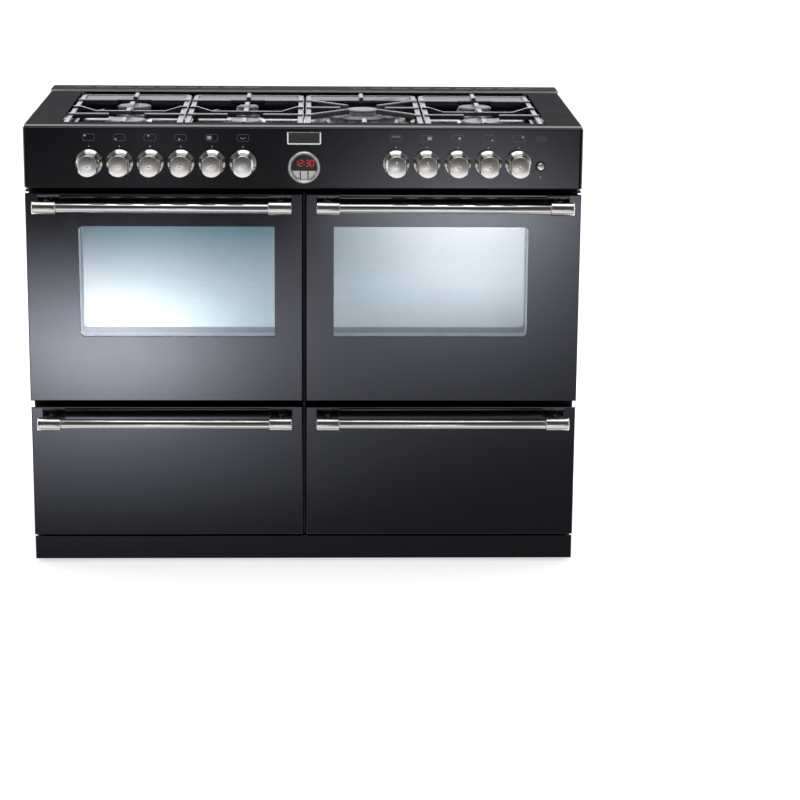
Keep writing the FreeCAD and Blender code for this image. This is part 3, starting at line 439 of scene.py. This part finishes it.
# clock read-out: seven-segment figures behind the lens's face
SEG = {"0": "abcdef", "1": "bc", "2": "abged", "3": "abgcd", "4": "fgbc", "5": "afgcd", "6": "afgedc", "7": "abc", "8": "abcdefg", "9": "abfgcd"}
bm = bmesh.new()
W, H, S = 6.2, 11.6, 1.6
for ch, ox in (("1", -18.6), ("2", -9.4), ("3", 2.8), ("0", 11.8)):
    z0 = 815.0 + 2.6
    sh = 0.9
    segs = {"a": (0.8, H, W - 0.8, H), "d": (0.8, 0, W - 0.8, 0), "g": (0.8, H / 2, W - 0.8, H / 2), "f": (0, H / 2 + 0.7, 0, H - 0.7),
            "b": (W, H / 2 + 0.7, W, H - 0.7), "e": (0, 0.7, 0, H / 2 - 0.7), "c": (W, 0.7, W, H / 2 - 0.7)}
    for s in SEG[ch]:
        xa, za, xb, zb = segs[s]
        line(bm, ox + xa + sh * za / H, z0 + za, ox + xb + sh * zb / H, z0 + zb, S, -3.5)
disc(bm, 0.0, 815.0 + 5.6, 0.9, -3.5, 12)
disc(bm, 0.3, 815.0 + 10.6, 0.9, -3.5, 12)
piece("clock_figures", bm, display_red)

# ------------------------------------------------------------------ stage
me = bpy.data.meshes.new("floor")
bm = bmesh.new()
s = 30.0
bm.faces.new([bm.verts.new(v) for v in ((-s, -s, 0), (s, -s, 0), (s, s, 0), (-s, s, 0))])
bm.to_mesh(me)
bm.free()
floor = bpy.data.objects.new("floor", me)
scene.collection.objects.link(floor)
m, t, b = material("floor_paper", Roughness=0.9, Specular_IOR_Level=0.1, Emission_Strength=0.62)
n = t.noise(t.coords(), 3.0)
t.link(t.ramp(n, (0.3, 0.90), (0.7, 0.92)), b.inputs["Base Color"])
b.inputs["Emission Color"].default_value = (1, 1, 1, 1)
me.materials.append(m)
floor.visible_glossy = False
floor.visible_transmission = False

# ------------------------------------------------------------------ light
w = bpy.data.worlds.new("studio")
scene.world = w
w.use_nodes = True
w.node_tree.nodes.clear()
t = Tree(w.node_tree)
tc = t.add("ShaderNodeTexCoord")
sx = t.add("ShaderNodeSeparateXYZ")
t.link(tc.outputs["Generated"], sx.inputs[0])
X, Y, Z = sx.outputs
front = t.math("MAXIMUM", t.math("MULTIPLY", Y, -1.0), 0.05)
A = t.math("DIVIDE", X, front)
B = t.math("DIVIDE", Z, front)


def glow(h, a0, b0, sa, sb):
    da = t.math("DIVIDE", t.math("SUBTRACT", A, a0), sa)
    db = t.math("DIVIDE", t.math("SUBTRACT", B, b0), sb)
    q = t.math("ADD", t.math("MULTIPLY", da, da), t.math("MULTIPLY", db, db))
    return t.math("MULTIPLY", t.math("EXPONENT", t.math("MULTIPLY", q, -1.0)), h)


total = 0.15
for g in ((5.07, -0.0835, -0.2312, 0.044, 0.0245), (3.17, 0.064, -0.1763, 0.047, 0.0381), (0.91, -0.093, -0.2743, 0.0894, 0.0261),
          (2.24, -0.20, -0.2242, 0.2427, 0.0399), (0.46, -0.0663, -0.1534, 0.0243, 0.0397)):
    total = t.math("ADD", glow(*g), total)
# below the drawers' mirror band the floor comes up bright again, and the sides and back of the room are an even grey
down = t.math("MULTIPLY", B, -1.0)
db = t.math("DIVIDE", t.math("SUBTRACT", down, 0.174), 0.012)
dip = t.math("EXPONENT", t.math("MULTIPLY", t.math("MULTIPLY", db, db), -1.0))
right = t.math("MULTIPLY", t.math("ADD", A, 0.02), 33.0, True)
amount = t.math("SUBTRACT", t.math("MULTIPLY", right, 0.85), 0.55)
total = t.math("MULTIPLY", total, t.math("ADD", 1.0, t.math("MULTIPLY", dip, amount)))
ahead = t.math("MULTIPLY", t.math("SUBTRACT", B, 0.05), 5.0, True)
total = t.math("SUBTRACT", total, t.math("MULTIPLY", ahead, 0.10))
low = t.math("MULTIPLY", t.math("SUBTRACT", down, 0.345), 5.0, True)
faded = t.math("SUBTRACT", 1.0, t.math("MULTIPLY", t.math("SUBTRACT", down, 0.95), 0.8, True))
total = t.math("ADD", total, t.math("MULTIPLY", t.math("MULTIPLY", low, t.math("ADD", t.math("MULTIPLY", faded, 0.75), 0.2)), 1.0))
side = t.math("MULTIPLY", t.math("SUBTRACT", t.math("ABSOLUTE", A), 1.0), 1.2, True)
total = t.math("ADD", total, t.math("MULTIPLY", side, 0.05))
high = t.math("MULTIPLY", t.math("SUBTRACT", Z, 0.84), 8.0, True)
total = t.math("ADD", total, t.math("MULTIPLY", high, 0.9))
# the white sweep behind, over-lit, which the upward faces mirror at a low angle
behind = t.math("MULTIPLY", t.math("ADD", Y, 0.10), 2.5, True)
fall = t.math("SUBTRACT", 1.0, t.math("MULTIPLY", t.math("MULTIPLY", t.math("SUBTRACT", Z, 0.18), 5.0, True), 0.7))
total = t.math("ADD", total, t.math("MULTIPLY", t.math("MULTIPLY", behind, fall), 2.1))
bg = t.add("ShaderNodeBackground")
bg.inputs["Color"].default_value = (1.0, 1.0, 1.03, 1)
t.link(total, bg.inputs["Strength"])
white = t.add("ShaderNodeBackground")
white.inputs["Color"].default_value = (1, 1, 1, 1)
white.inputs["Strength"].default_value = 1.0
lp = t.add("ShaderNodeLightPath")
mix = t.add("ShaderNodeMixShader")
t.link(lp.outputs["Is Camera Ray"], mix.inputs[0])
t.link(bg.outputs[0], mix.inputs[1])
t.link(white.outputs[0], mix.inputs[2])
out = t.add("ShaderNodeOutputWorld")
t.link(mix.outputs[0], out.inputs[0])


def area(name, loc, target, sx, sy, power, colour=(1, 1, 1)):
    d = bpy.data.lights.new(name, "AREA")
    d.shape = "RECTANGLE"
    d.size, d.size_y = sx, sy
    d.energy = power
    d.color = colour
    o = bpy.data.objects.new(name, d)
    scene.collection.objects.link(o)
    o.location = loc
    o.rotation_mode = "QUATERNION"
    o.rotation_quaternion = (Vector(target) - Vector(loc)).to_track_quat("-Z", "Y")
    o.visible_camera = False
    return o


area("overhead", (0.0, 0.05, 3.0), (0.0, -0.10, 0.8), 2.6, 2.1, 21.0)
area("left_box", (-3.6, -2.4, 2.2), (0.0, -0.2, 0.6), 1.3, 1.2, 24.0)
area("right_box", (3.6, -2.4, 2.2), (0.0, -0.2, 0.6), 1.3, 1.2, 24.0)
area("back_top", (0.0, 2.6, 3.2), (0.0, 0.1, 0.9), 3.0, 1.2, 22.0)

# ------------------------------------------------------------------ finish
bpy.context.view_layer.update()
